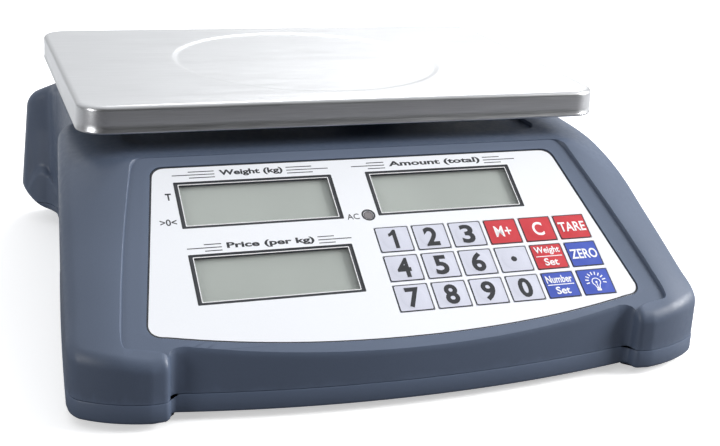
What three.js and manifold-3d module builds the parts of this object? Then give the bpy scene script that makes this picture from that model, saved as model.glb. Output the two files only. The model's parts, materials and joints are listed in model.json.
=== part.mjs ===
// Counting scale: a wedge-shaped plastic casing with a sloped keypad panel and a stainless platter.
// Millimetres, +Z up, front towards -Y. The origin is on the ground, under the middle of the scale.
import * as THREE from "three";
import { mergeVertices } from "three/addons/utils/BufferGeometryUtils.js";
import Module from "manifold-3d";

const wasm = await Module();
wasm.setup();

// ---- Driving dimensions -------------------------------------------------------------------------
const gap = 0.3; // air between pieces that touch
const wall = 3; // casing wall
const footHeight = 4; // the casing stands this far off the ground
const partingZ = 16.2; // where the two casing halves meet
const deckZ = 113.5; // top of the casing, under the platter
const casing = { halfWidth: 192, halfDepth: 190, waist: 166, podInner: 137 };

const platter = { width: 340, depth: 230, height: 17, topZ: 143, y: 60.5, corner: 20, sheet: 1.2, edge: 3 };
const emboss = { radius: 90, width: 3, depth: 0.4 };
const well = { width: 280, depth: 194, corner: 15, sink: 2.5 };

// The sloped panel: u runs right, v up the slope, w out of the panel. v is 0 at the upper display.
const panel = { y: -77.64, z: 102.32, slope: THREE.MathUtils.degToRad(31.92), surround: 0.5, inner: -6 };
const overlay = { thick: 1.2, floor: -1.5, topV: 12.4, topHalf: 131, lowV: -104, lowHalf: 149, bowV: -120.5 };

const display = { width: 97.35, height: 34.8, glass: 1, glassTop: -0.2, module: -10.1, moduleTop: -3 };
const displays = [
  { name: "mass", u: -119.4, v: 0 },
  { name: "total", u: -0.25, v: 0.6 },
  { name: "price", u: -119.4, v: -53.4 },
];
const key = { width: 21.27, height: 18.67, pitchU: 23.66, pitchV: 21.24, u: -6, v: -43.3 };
const keyForm = { corner: 1.6, top: 0.4, low: -1.9, bevel: 0.35 };
const keyRows = [
  ["key_1", "key_2", "key_3", "key_memory", "key_clear", "key_tare"],
  ["key_4", "key_5", "key_6", "key_point", "key_weight_set", "key_zero"],
  ["key_7", "key_8", "key_9", "key_0", "key_count_set", "key_light"],
];
const membrane = { top: -2.9, low: -3.8, margin: 3 };
const indicator = { u: -6.5, v: -33.2, radius: 3, low: -8 };
const board = { halfU: 128, topV: 8, lowV: -98, top: -10.4, thick: 1.6 };

const cell = { length: 130, width: 30, height: 22, z: 58, boltX: [42, 58], boltRadius: 3, holeRadius: 3.3 };
const hub = { from: 30, to: 66, width: 32, clear: 9 };
const arm = { reachX: 120, reachY: 75, width: 28, lowZ: 127.7, thick: 8 };
const pad = { radius: 9, sink: 2 };
const frameTop = cell.z - gap;

const foot = { radius: 11, pad: 6, stud: 3, studTop: 22, room: 8.5 };
const feet = { frontX: 165, frontY: -158, rearX: 148, rearY: 163 };
const screw = { x: 153, frontY: -118, rearY: 140, radius: 1.5, head: 3.2, lowZ: 5.6, topZ: 32, boss: 4.6 };
const battery = { x: -70, y: 133, width: 100, depth: 70, height: 47, lowZ: 7.9 };
const door = { x: battery.x, width: 116, frontY: 90, lowZ: 5.3, topZ: 7.3 };
const rearWindow = { width: 150, height: 34, z: 75, glass: 1.5 };
const inlet = { x: 135, z: 36, width: 28, height: 20, mouthX: 22, mouthZ: 15, mouth: 16, deep: 24 };
const rocker = { x: 92, z: 36, frameX: 22, frameZ: 16, half: 8, height: 10.4, pivot: 4.4, rest: 12 };
const level = { x: 115, y: 14, radius: 9, flange: 11, lowZ: 102 };

// ---- Solid helpers ------------------------------------------------------------------------------
function solid(geometry) {
  const plain = geometry.index ? geometry.toNonIndexed() : geometry.clone();
  plain.deleteAttribute("normal");
  plain.deleteAttribute("uv");
  const merged = mergeVertices(plain, 1e-4);
  return new wasm.Manifold(
    new wasm.Mesh({
      numProp: 3,
      vertProperties: new Float32Array(merged.attributes.position.array),
      triVerts: new Uint32Array(merged.index.array),
    }),
  );
}

function geometryOf(body) {
  const mesh = body.getMesh();
  const geometry = new THREE.BufferGeometry();
  geometry.setAttribute("position", new THREE.BufferAttribute(mesh.vertProperties, 3));
  geometry.setIndex(new THREE.BufferAttribute(mesh.triVerts, 1));
  return geometry;
}

function box(minX, maxX, minY, maxY, minZ, maxZ) {
  const geometry = new THREE.BoxGeometry(maxX - minX, maxY - minY, maxZ - minZ);
  geometry.translate((minX + maxX) / 2, (minY + maxY) / 2, (minZ + maxZ) / 2);
  return solid(geometry);
}

function cylinder(radius, x, y, minZ, maxZ, sides = 20) {
  const geometry = new THREE.CylinderGeometry(radius, radius, maxZ - minZ, sides);
  geometry.rotateX(Math.PI / 2);
  geometry.translate(x, y, (minZ + maxZ) / 2);
  return solid(geometry);
}

// A closed profile of [radius, z] pairs turned about a vertical line at x, y.
function turned(profile, x, y, sides = 20) {
  const points = profile.map(([radius, z]) => new THREE.Vector2(radius, z));
  const geometry = new THREE.LatheGeometry(points, sides);
  geometry.rotateX(Math.PI / 2);
  geometry.translate(x, y, 0);
  return solid(geometry);
}

// A shape in the X-Y plane raised from minZ to maxZ.
function raised(shape, minZ, maxZ, curveSegments = 6) {
  const geometry = new THREE.ExtrudeGeometry(shape, {
    depth: maxZ - minZ,
    bevelEnabled: false,
    curveSegments,
  });
  geometry.translate(0, 0, minZ);
  return solid(geometry);
}

// A profile of [y, z] pairs run along X from minX to maxX.
function alongX(profile, minX, maxX) {
  const shape = new THREE.Shape(profile.map(([y, z]) => new THREE.Vector2(y, z)));
  const geometry = new THREE.ExtrudeGeometry(shape, { depth: maxX - minX, bevelEnabled: false });
  geometry.rotateX(Math.PI / 2);
  geometry.rotateZ(Math.PI / 2);
  geometry.translate(minX, 0, 0);
  return solid(geometry);
}

function roundedRectangle(minX, maxX, minY, maxY, radius) {
  const shape = new THREE.Shape();
  shape.moveTo(minX + radius, minY);
  shape.lineTo(maxX - radius, minY);
  shape.absarc(maxX - radius, minY + radius, radius, -Math.PI / 2, 0);
  shape.lineTo(maxX, maxY - radius);
  shape.absarc(maxX - radius, maxY - radius, radius, 0, Math.PI / 2);
  shape.lineTo(minX + radius, maxY);
  shape.absarc(minX + radius, maxY - radius, radius, Math.PI / 2, Math.PI);
  shape.lineTo(minX, minY + radius);
  shape.absarc(minX + radius, minY + radius, radius, Math.PI, (3 * Math.PI) / 2);
  return shape;
}

// From the panel's own u, v, w to the scale's frame.
const panelPlace = new THREE.Matrix4()
  .makeTranslation(0, panel.y, panel.z)
  .multiply(new THREE.Matrix4().makeRotationX(panel.slope));

function onPanel(body) {
  return body.transform(panelPlace.elements);
}

function panelZ(y) {
  const rise = Math.tan(panel.slope) * (y - panel.y);
  return panel.z + rise + panel.surround / Math.cos(panel.slope);
}

function mirrored(shapePoints) {
  return shapePoints.map(([x, y]) => [-x, y]).reverse();
}

function union(bodies) {
  return bodies.reduce((sum, body) => sum.add(body));
}

// ---- Casing form --------------------------------------------------------------------------------
// The right half of the casing's outline, drawn from the front middle to the back middle.
function drawRightHalf(path, inset) {
  const side = casing.halfWidth - inset;
  const back = casing.halfDepth - inset;
  const waist = casing.waist - inset;
  path.moveTo(0, -casing.halfDepth + inset);
  path.quadraticCurveTo(70, -casing.halfDepth + inset, casing.podInner + inset, -177 + inset);
  path.quadraticCurveTo(casing.podInner + inset, -182 + inset, 144 + inset, -182 + inset);
  path.lineTo(150, -182.5 + inset);
  path.quadraticCurveTo(side - 8, -180 + inset, side, -155);
  path.quadraticCurveTo(side - 6, -75, side - 13.5, 3);
  path.quadraticCurveTo(side - 16, 28 - inset, waist, 32 - inset);
  path.lineTo(waist, 132 + inset);
  path.quadraticCurveTo(waist + 1, 146 + inset, side - 11.5, 154 + inset);
  path.quadraticCurveTo(side - 5.5, 160 + inset, side - 5.5, 180 - inset);
  path.quadraticCurveTo(side - 5.5, back, side - 16, back);
  path.lineTo(0, back);
}

function casingOutline(inset) {
  const half = new THREE.Path();
  drawRightHalf(half, inset);
  const right = half.getPoints(5).map((p) => [p.x, p.y]);
  const left = mirrored(right).slice(1, -1);
  return new THREE.Shape([...right, ...left].map(([x, y]) => new THREE.Vector2(x, y)));
}

// Height of the raised side band at its inner edge, from the front of the pod to the back.
const bandCrest = [
  [-182.5, 30],
  [-178, 39],
  [-168, 47],
  [-149, 60.3],
  [-98, 91.5],
  [-76, 103.5],
  [-54, 109.5],
  [-29, 112.6],
  [3, deckZ],
  [220, deckZ],
];
const bandTilt = THREE.MathUtils.degToRad(8);
const bandEdge = 141;

function bandSolid(side, drop) {
  const crest = bandCrest.map(([y, z]) => [y, z - drop]);
  const profile = [[-220, 30 - drop], ...crest, [220, -60], [-220, -60]];
  const geometry = new THREE.ExtrudeGeometry(
    new THREE.Shape(profile.map(([y, z]) => new THREE.Vector2(y, z))),
    { depth: 120, bevelEnabled: false },
  );
  geometry.rotateX(Math.PI / 2);
  geometry.rotateZ(Math.PI / 2);
  geometry.translate(-20, 0, -deckZ);
  geometry.rotateY(bandTilt);
  geometry.translate(bandEdge, 0, deckZ);
  const body = solid(geometry);
  return side > 0 ? body : body.mirror([1, 0, 0]);
}

// The plan of the raised band, outside the step that frames the panel.
function bandRegion(side, inset) {
  const shape = new THREE.Shape();
  shape.moveTo(bandEdge, 220);
  shape.lineTo(bandEdge, -62 + inset);
  shape.quadraticCurveTo(155.5 + inset, -112, 164 + inset, -168);
  shape.lineTo(164 + inset, -173.5);
  shape.lineTo(130 + inset, -176 - inset);
  shape.lineTo(130 + inset, -220);
  shape.lineTo(220, -220);
  shape.lineTo(220, 220);
  const body = raised(shape, -80, 160, 6);
  return side > 0 ? body : body.mirror([1, 0, 0]);
}

function middleSolid(deckDrop, panelDrop) {
  const top = deckZ - deckDrop;
  const lower = panelDrop / Math.cos(panel.slope);
  const rise = top - panel.z + lower - panel.surround / Math.cos(panel.slope);
  const crestY = panel.y + rise / Math.tan(panel.slope);
  const profile = [
    [-220, -60],
    [220, -60],
    [220, top],
    [crestY, top],
    [-220, panelZ(-220) - lower],
  ];
  return alongX(profile, -220, 220);
}

// The casing's whole form; inset and drops make the smaller form that hollows it.
function casingForm(inset, bandDrop, deckDrop, panelDrop, minZ) {
  const outline = raised(casingOutline(inset), minZ, 200);
  const regions = [1, -1].map((side) => bandRegion(side, inset));
  const middle = middleSolid(deckDrop, panelDrop).subtract(union(regions));
  const bands = [1, -1].map((side, i) => bandSolid(side, bandDrop).intersect(regions[i]));
  return union([middle, ...bands]).intersect(outline);
}

// ---- Shapes on the panel ------------------------------------------------------------------------
function overlayShape(grow) {
  const top = overlay.topV + grow;
  const wide = overlay.topHalf + grow;
  const low = overlay.lowHalf + grow;
  const shape = new THREE.Shape();
  shape.moveTo(-wide + 8, top);
  shape.quadraticCurveTo(-wide, top, -wide - 1, top - 8);
  shape.quadraticCurveTo(-139.5 - grow, -42, -low, -98);
  shape.quadraticCurveTo(-low, overlay.lowV - grow - 2, -low + 9, -106.5 - grow);
  shape.quadraticCurveTo(-75, overlay.bowV - grow, 0, overlay.bowV - grow);
  shape.quadraticCurveTo(75, overlay.bowV - grow, low - 9, -106.5 - grow);
  shape.quadraticCurveTo(low, overlay.lowV - grow - 2, low, -98);
  shape.quadraticCurveTo(139.5 + grow, -42, wide + 1, top - 8);
  shape.quadraticCurveTo(wide, top, wide - 8, top);
  return shape;
}

function windowBox(d, grow, low, high) {
  return box(d.u - grow, d.u + display.width + grow, d.v - display.height - grow, d.v + grow, low, high);
}

function keyPlace(row, column) {
  return { u: key.u + column * key.pitchU, v: key.v - row * key.pitchV };
}

function keyShape(place, grow) {
  const { u, v } = place;
  return roundedRectangle(
    u - grow,
    u + key.width + grow,
    v - key.height - grow,
    v + grow,
    keyForm.corner,
  );
}

const keypad = {
  minU: key.u - membrane.margin,
  maxU: key.u + 5 * key.pitchU + key.width + membrane.margin,
  minV: key.v - 2 * key.pitchV - key.height - membrane.margin,
  maxV: key.v + membrane.margin,
};

function keypadBox(shrink, low, high) {
  return box(
    keypad.minU + shrink,
    keypad.maxU - shrink,
    keypad.minV + shrink,
    keypad.maxV - shrink,
    low,
    high,
  );
}

// ---- Casing pieces ------------------------------------------------------------------------------
const screwPlaces = [
  [-screw.x, screw.frontY],
  [screw.x, screw.frontY],
  [-screw.x, screw.rearY],
  [screw.x, screw.rearY],
];
const footPlaces = [
  ["foot_front_left", -feet.frontX, feet.frontY],
  ["foot_front_right", feet.frontX, feet.frontY],
  ["foot_rear_left", -feet.rearX, feet.rearY],
  ["foot_rear_right", feet.rearX, feet.rearY],
];

function rearOpening(x, z, width, height) {
  return box(
    x - width / 2 - gap,
    x + width / 2 + gap,
    casing.halfDepth - 2 * wall,
    casing.halfDepth + wall,
    z - height / 2 - gap,
    z + height / 2 + gap,
  );
}

function topCover() {
  const inner = casingForm(wall, wall, 5.5, panel.surround - panel.inner, -100);
  const bosses = screwPlaces.map(([x, y]) => cylinder(screw.boss, x, y, partingZ + gap, deckZ, 16));
  const outer = casingForm(0, 0, 0, 0, partingZ + gap / 2);
  let body = outer.subtract(inner).add(union(bosses).intersect(outer));
  const recess = raised(overlayShape(gap), overlay.floor, 20, 5);
  const pocket = keypadBox(0, membrane.low - gap, 20);
  const windows = displays.map((d) => windowBox(d, 0, -30, 20));
  const lamp = cylinder(indicator.radius + gap, indicator.u, indicator.v, -30, 20, 16);
  body = body.subtract(onPanel(union([recess, pocket, ...windows, lamp])));
  const wellShape = roundedRectangle(
    -well.width / 2,
    well.width / 2,
    platter.y - well.depth / 2,
    platter.y + well.depth / 2,
    well.corner,
  );
  const cuts = [
    raised(wellShape, deckZ - well.sink, deckZ + 20, 5),
    box(hub.from - hub.clear, hub.to + hub.clear, platter.y - 25, platter.y + 25, 60, 130),
    cylinder(level.radius + gap, level.x, level.y, 90, 130),
    rearOpening(0, rearWindow.z, rearWindow.width, rearWindow.height),
    rearOpening(inlet.x, inlet.z, inlet.width, inlet.height),
    rearOpening(rocker.x, rocker.z, rocker.frameX, rocker.frameZ),
    ...screwPlaces.map(([x, y]) => cylinder(screw.radius + gap, x, y, 0, screw.topZ + 1, 12)),
  ];
  return body.subtract(union(cuts));
}

function bottomCover() {
  const floorZ = footHeight + 4.2;
  const under = footHeight + 1.2;
  const rim = raised(casingOutline(0), footHeight, partingZ - gap / 2);
  const hollow = raised(casingOutline(wall), floorZ, 40);
  const doorHalf = door.width / 2;
  const batteryFrame = box(
    door.x - doorHalf - 3,
    door.x + doorHalf + 3,
    door.frontY - 4,
    casing.halfDepth - wall,
    floorZ - 1,
    11.2,
  );
  const bosses = [
    ...screwPlaces.map(([x, y]) => cylinder(screw.boss, x, y, floorZ - 1, partingZ - gap, 16)),
    ...footPlaces.map(([, x, y]) => cylinder(foot.radius + 3, x, y, floorZ - 1, 13, 20)),
  ];
  const cuts = [
    box(-casing.podInner, casing.podInner, -230, 230, 0, under),
    box(door.x - doorHalf, door.x + doorHalf, door.frontY, 230, 0, door.topZ + gap),
    box(
      battery.x - battery.width / 2 - 2,
      battery.x + battery.width / 2 + 2,
      battery.y - battery.depth / 2 - 2,
      battery.y + battery.depth / 2 + 2,
      5,
      20,
    ),
    ...screwPlaces.map(([x, y]) => cylinder(screw.radius + gap, x, y, 0, 20, 12)),
    ...screwPlaces.map(([x, y]) => cylinder(screw.head + gap, x, y, 0, screw.lowZ + 2.8, 16)),
    ...footPlaces.map(([, x, y]) => cylinder(foot.radius + 1, x, y, 0, foot.room, 20)),
    ...footPlaces.map(([, x, y]) => cylinder(foot.stud + gap, x, y, 0, 20, 12)),
  ];
  return rim.subtract(hollow).add(union([batteryFrame, ...bosses])).subtract(union(cuts));
}

function batteryDoor() {
  const half = door.width / 2 - gap;
  const front = door.frontY + gap;
  const back = casing.halfDepth - gap;
  const plate = box(door.x - half, door.x + half, front, back, door.lowZ, door.topZ);
  const gripWidth = 24;
  const grooves = [0, 1, 2].map((i) => {
    const y = casing.halfDepth - 12 - i * 5;
    return box(door.x - gripWidth / 2, door.x + gripWidth / 2, y - 1, y + 1, 0, door.lowZ + 0.8);
  });
  return plate.subtract(union(grooves));
}

function casingScrew([x, y]) {
  const neck = screw.lowZ + 2.4;
  const profile = [
    [0, screw.lowZ],
    [screw.head, screw.lowZ],
    [screw.head, neck],
    [screw.radius, neck],
    [screw.radius, screw.topZ],
    [0, screw.topZ],
  ];
  return turned(profile, x, y, 12);
}

function levellingFoot(x, y) {
  const profile = [
    [0, 0],
    [foot.radius - 1, 0],
    [foot.radius, 1],
    [foot.radius, foot.pad - 1],
    [foot.radius - 1, foot.pad],
    [foot.stud, foot.pad],
    [foot.stud, foot.studTop],
    [0, foot.studTop],
  ];
  return turned(profile, x, y, 20);
}

// ---- Panel pieces, in the panel's own u, v, w ---------------------------------------------------
function panelOverlay() {
  const sheet = raised(overlayShape(0), -overlay.thick, 0, 5);
  const holes = [
    ...displays.map((d) => windowBox(d, 0, -5, 5)),
    cylinder(indicator.radius + gap, indicator.u, indicator.v, -5, 5, 16),
    ...keyRows.flatMap((names, row) =>
      names.map((name, column) => raised(keyShape(keyPlace(row, column), gap), -5, 5, 2)),
    ),
  ];
  return sheet.subtract(union(holes));
}

function keyCap(row, column) {
  const { bevel, low, top } = keyForm;
  const place = keyPlace(row, column);
  const geometry = new THREE.ExtrudeGeometry(keyShape(place, -bevel), {
    depth: top - low - bevel,
    bevelEnabled: true,
    bevelThickness: bevel,
    bevelSize: bevel,
    bevelSegments: 1,
    curveSegments: 2,
  });
  geometry.translate(0, 0, low);
  const trim = keypadBox(-10, low - 2, low);
  return solid(geometry).subtract(trim);
}

function indicatorLens() {
  const top = display.glassTop;
  const profile = [
    [0, indicator.low],
    [indicator.radius, indicator.low],
    [indicator.radius, top - 0.5],
    [indicator.radius - 0.6, top],
    [0, top],
  ];
  return turned(profile, indicator.u, indicator.v, 16);
}

function displayModule(d) {
  const glass = windowBox(d, -1.5, display.module + 2, display.moduleTop);
  const holder = windowBox(d, -0.8, display.module, display.moduleTop - 1.5);
  return glass.add(holder);
}

function mainBoard() {
  const low = board.top - board.thick;
  const plate = box(-board.halfU, board.halfU, board.lowV, board.topV, low, board.top);
  const parts = [
    box(-100, -70, -48, -39, low - 8, low + 0.2),
    box(-20, 20, -90, -60, low - 3, low + 0.2),
    box(40, 60, -30, -15, low - 10, low + 0.2),
    cylinder(6, 90, -70, low - 9, low + 0.2, 16),
  ];
  return plate.add(union(parts));
}

// ---- Weighing pieces ----------------------------------------------------------------------------
function roundedSlab(inset, minZ, maxZ, bevel) {
  const shape = roundedRectangle(
    -platter.width / 2 + inset + bevel,
    platter.width / 2 - inset - bevel,
    platter.y - platter.depth / 2 + inset + bevel,
    platter.y + platter.depth / 2 - inset - bevel,
    platter.corner - inset - bevel,
  );
  const geometry = new THREE.ExtrudeGeometry(shape, {
    depth: maxZ - minZ - bevel,
    bevelEnabled: true,
    bevelThickness: bevel,
    bevelSize: bevel,
    bevelSegments: 3,
    curveSegments: 6,
  });
  geometry.translate(0, 0, minZ);
  return solid(geometry).subtract(box(-200, 200, -200, 200, minZ - 20, minZ));
}

function platterPan() {
  const lowZ = platter.topZ - platter.height;
  const outer = roundedSlab(0, lowZ, platter.topZ, platter.edge);
  const inner = roundedSlab(platter.sheet, lowZ - 10, platter.topZ - platter.sheet, platter.edge - 1);
  const groove = [
    [emboss.radius - emboss.width / 2, platter.topZ + 1],
    [emboss.radius - emboss.width / 2, platter.topZ],
    [emboss.radius, platter.topZ - emboss.depth],
    [emboss.radius + emboss.width / 2, platter.topZ],
    [emboss.radius + emboss.width / 2, platter.topZ + 1],
    [emboss.radius - emboss.width / 2, platter.topZ + 1],
  ];
  return outer.subtract(inner).subtract(turned(groove, 0, platter.y, 40));
}

const padPlaces = [
  ["platter_pad_front_left", -arm.reachX, platter.y - arm.reachY],
  ["platter_pad_front_right", arm.reachX, platter.y - arm.reachY],
  ["platter_pad_rear_left", -arm.reachX, platter.y + arm.reachY],
  ["platter_pad_rear_right", arm.reachX, platter.y + arm.reachY],
];

function platterPad(x, y) {
  const seat = arm.lowZ + arm.thick - pad.sink + gap;
  const top = platter.topZ - platter.sheet - gap;
  const profile = [
    [0, seat],
    [pad.radius, seat],
    [pad.radius, top - 1.5],
    [pad.radius - 1.5, top],
    [0, top],
  ];
  return turned(profile, x, y, 16);
}

function crossBar(sign) {
  const length = 2 * Math.hypot(arm.reachX, arm.reachY);
  const geometry = new THREE.BoxGeometry(length, arm.width, arm.thick);
  geometry.rotateZ(sign * Math.atan2(arm.reachY, arm.reachX));
  geometry.translate(0, platter.y, arm.lowZ + arm.thick / 2);
  return solid(geometry);
}

function platterCarrier() {
  const top = arm.lowZ + arm.thick;
  const half = hub.width / 2;
  const post = box(hub.from, hub.to, platter.y - half, platter.y + half, cell.z + cell.height + gap, top);
  const middle = box(-50, 72, platter.y - 30, platter.y + 30, arm.lowZ, top);
  const ends = padPlaces.map(([, x, y]) => cylinder(pad.radius + 6, x, y, arm.lowZ, top));
  const seats = padPlaces.map(([, x, y]) => cylinder(pad.radius + gap, x, y, top - pad.sink, top + 5));
  const holes = cell.boltX.map((x) => cylinder(cell.holeRadius, x, platter.y, 60, 99, 12));
  return union([crossBar(1), crossBar(-1), post, middle, ...ends]).subtract(union([...seats, ...holes]));
}

function loadCell() {
  const half = cell.length / 2;
  const top = cell.z + cell.height;
  const middle = cell.z + cell.height / 2;
  const bar = box(-half, half, platter.y - cell.width / 2, platter.y + cell.width / 2, cell.z, top);
  const bores = [-14, 14].map((x) => {
    const geometry = new THREE.CylinderGeometry(8, 8, 60, 20);
    geometry.translate(x, platter.y, middle);
    return solid(geometry);
  });
  const slot = box(-14, 14, platter.y - 30, platter.y + 30, middle - 3, middle + 3);
  const holes = [-1, 1].flatMap((side) =>
    cell.boltX.map((x) => cylinder(cell.holeRadius, side * x, platter.y, 40, 100, 12)),
  );
  return bar.subtract(union([...bores, slot, ...holes]));
}

// side 1 holds the carrier's post from below, side -1 holds the base frame from above.
function cellBolt(side, x) {
  const headHeight = 6;
  const reach = 12;
  const seat = side > 0 ? cell.z - gap : cell.z + cell.height + gap;
  const tip = side > 0 ? cell.z + cell.height + reach : cell.z - reach;
  const profile = [
    [0, seat - side * headHeight],
    [5, seat - side * headHeight],
    [5, seat],
    [cell.boltRadius, seat],
    [cell.boltRadius, tip],
    [0, tip],
  ];
  return turned(side > 0 ? profile : profile.reverse(), side * x, platter.y, 12);
}

function baseFrame() {
  const plate = box(-85, 85, 22, 84, 8.5, 12);
  const half = cell.width / 2 + 3;
  const riser = box(-68, -33, platter.y - half, 84, 8.5, frameTop);
  const ribs = [-70, 78].map((x) => box(x - 2, x + 2, 24, 82, 8.5, 24));
  const holes = cell.boltX.map((x) => cylinder(cell.holeRadius, -x, platter.y, 44, 70, 12));
  return union([plate, riser, ...ribs]).subtract(union(holes));
}

// ---- Power and electronics ----------------------------------------------------------------------
function batteryBlock() {
  const { x, y, width, depth, height, lowZ } = battery;
  const top = lowZ + height;
  const block = box(x - width / 2, x + width / 2, y - depth / 2, y + depth / 2, lowZ, top);
  const terminals = [-1, 1].map((side) => {
    const place = x + side * 36;
    return box(place - 3, place + 3, y - 30, y - 27, top - 1, top + 7);
  });
  return block.add(union(terminals));
}

function transformer() {
  const core = box(54, 112, 106, 152, 8.5, 50);
  const windowCut = box(66, 100, 90, 170, 18, 41);
  const coil = box(64.5, 101.5, 98, 160, 17, 42);
  return core.subtract(windowCut).add(coil);
}

function powerInlet() {
  const face = casing.halfDepth - gap;
  const { x, z, width, height, mouthX, mouthZ, mouth, deep } = inlet;
  const body = box(x - width / 2, x + width / 2, face - deep, face, z - height / 2, z + height / 2);
  const cavity = box(x - mouthX / 2, x + mouthX / 2, face - mouth, face + 5, z - mouthZ / 2, z + mouthZ / 2);
  const pinLength = 11;
  const pins = [-7, 0, 7].map((offset) => {
    const lift = offset === 0 ? -2.5 : 2.5;
    const back = face - mouth;
    return box(x + offset - 1, x + offset + 1, back - 1, back + pinLength, z + lift - 2, z + lift + 2);
  });
  return body.subtract(cavity).add(union(pins));
}

function switchFrame() {
  const face = casing.halfDepth - gap;
  const { x, z, frameX, frameZ, half, height } = rocker;
  const body = box(x - frameX / 2, x + frameX / 2, face - 18, face, z - frameZ / 2, z + frameZ / 2);
  const room = half + 1;
  const cavity = box(x - room, x + room, face - 11.5, face + 5, z - height / 2 - 0.5, z + height / 2 + 0.5);
  return body.subtract(cavity);
}

// A shallow V seen from above, turned to its off position about a vertical pin.
function switchRocker() {
  const { half, height } = rocker;
  const outline = [
    [-half, 2.2],
    [-half, -2],
    [-3, -4.5],
    [3, -4.5],
    [half, -2],
    [half, 2.2],
    [0, 0.6],
  ];
  const shape = new THREE.Shape(outline.map(([x, y]) => new THREE.Vector2(x, y)));
  const geometry = new THREE.ExtrudeGeometry(shape, { depth: height, bevelEnabled: false });
  geometry.translate(0, 0, -height / 2);
  return geometry;
}

function rearGlass() {
  const face = casing.halfDepth - gap;
  const { width, height, z, glass } = rearWindow;
  return box(-width / 2, width / 2, face - glass, face, z - height / 2, z + height / 2);
}

function rearModule() {
  const front = casing.halfDepth - wall - gap;
  const { width, height, z } = rearWindow;
  const halfWide = width / 2;
  const halfHigh = height / 2;
  const holder = box(-halfWide - 4, halfWide + 4, front - 10, front - 4, z - halfHigh - 3, z + halfHigh + 3);
  const glass = box(-halfWide + 3, halfWide - 3, front - 5, front, z - halfHigh + 3, z + halfHigh - 3);
  return holder.add(glass);
}

function bubbleLevel() {
  const seat = deckZ - well.sink + gap;
  const profile = [
    [0, level.lowZ],
    [level.radius, level.lowZ],
    [level.radius, seat],
    [level.flange, seat],
    [level.flange, seat + 1],
    [0, seat + 1],
  ];
  return turned(profile, level.x, level.y, 24);
}

function loadCellLead() {
  const start = new THREE.Vector3(-cell.length / 2 - 1, platter.y, cell.z + cell.height / 2);
  const route = new THREE.CatmullRomCurve3([
    start,
    new THREE.Vector3(-82, platter.y, 68),
    new THREE.Vector3(-92, 40, 66),
    new THREE.Vector3(-88, 0, 70),
    new THREE.Vector3(-76, -36, 78),
    new THREE.Vector3(-70, -52, 82),
  ]);
  const circle = new THREE.Shape();
  circle.absarc(0, 0, 2, 0, 2 * Math.PI);
  const options = { steps: 26, bevelEnabled: false, extrudePath: route, curveSegments: 4 };
  return solid(new THREE.ExtrudeGeometry(circle, options));
}

// ---- Materials ----------------------------------------------------------------------------------
function finish(color, roughness, metalness = 0, opacity = 1) {
  return new THREE.MeshStandardMaterial({ color, roughness, metalness, opacity, transparent: opacity < 1 });
}

const looks = {
  casing: finish("#5c6b7d", 0.6),
  overlay: finish("#eef1f5", 0.35),
  glass: finish("#c8d0cc", 0.1, 0, 0.35),
  lcd: finish("#8f9890", 0.4),
  keyLight: finish("#d5d8e6", 0.4),
  keyRed: finish("#c5333c", 0.4),
  keyBlue: finish("#2f4fae", 0.4),
  steel: finish("#c9ccce", 0.3, 1),
  aluminium: finish("#a8abad", 0.45, 1),
  rubber: finish("#222426", 0.85),
  board: finish("#2d5b40", 0.5),
  black: finish("#1c1d1f", 0.5),
  battery: finish("#3c4046", 0.6),
  lamp: finish("#4a3030", 0.3),
};
const redKeys = ["key_memory", "key_clear", "key_tare", "key_weight_set"];
const blueKeys = ["key_zero", "key_count_set", "key_light"];

function keyLook(name) {
  if (redKeys.includes(name)) return looks.keyRed;
  return blueKeys.includes(name) ? looks.keyBlue : looks.keyLight;
}

// ---- Assembly -----------------------------------------------------------------------------------
const scale = new THREE.Group();

function place(name, body, look, parent = scale) {
  const geometry = body.isBufferGeometry ? body : geometryOf(body);
  const mesh = new THREE.Mesh(geometry, look);
  mesh.name = name;
  parent.add(mesh);
  return mesh;
}

place("top_cover", topCover(), looks.casing);
place("bottom_cover", bottomCover(), looks.casing);
place("battery_door", batteryDoor(), looks.casing);
footPlaces.forEach(([name, x, y]) => place(name, levellingFoot(x, y), looks.rubber));
screwPlaces.forEach((at, i) => place(`casing_screw_${i + 1}`, casingScrew(at), looks.steel));

const panelGroup = new THREE.Group();
panelGroup.position.set(0, panel.y, panel.z);
panelGroup.rotation.x = panel.slope;
scale.add(panelGroup);
place("panel_overlay", panelOverlay(), looks.overlay, panelGroup);
place("keypad_membrane", keypadBox(gap, membrane.low, membrane.top), looks.board, panelGroup);
place("power_indicator", indicatorLens(), looks.lamp, panelGroup);
place("main_board", mainBoard(), looks.board, panelGroup);
for (const d of displays) {
  const glassLow = display.glassTop - display.glass;
  place(`window_${d.name}`, windowBox(d, -gap, glassLow, display.glassTop), looks.glass, panelGroup);
  place(`lcd_${d.name}`, displayModule(d), looks.lcd, panelGroup);
}
keyRows.forEach((names, row) =>
  names.forEach((name, column) => place(name, keyCap(row, column), keyLook(name), panelGroup)),
);

place("platter", platterPan(), looks.steel);
padPlaces.forEach(([name, x, y]) => place(name, platterPad(x, y), looks.rubber));
place("platter_carrier", platterCarrier(), looks.aluminium);
place("load_cell", loadCell(), looks.aluminium);
cell.boltX.forEach((x, i) => place(`carrier_bolt_${i + 1}`, cellBolt(1, x), looks.steel));
cell.boltX.forEach((x, i) => place(`frame_bolt_${i + 1}`, cellBolt(-1, x), looks.steel));
place("base_frame", baseFrame(), looks.aluminium);
place("load_cell_lead", loadCellLead(), looks.black);

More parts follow.
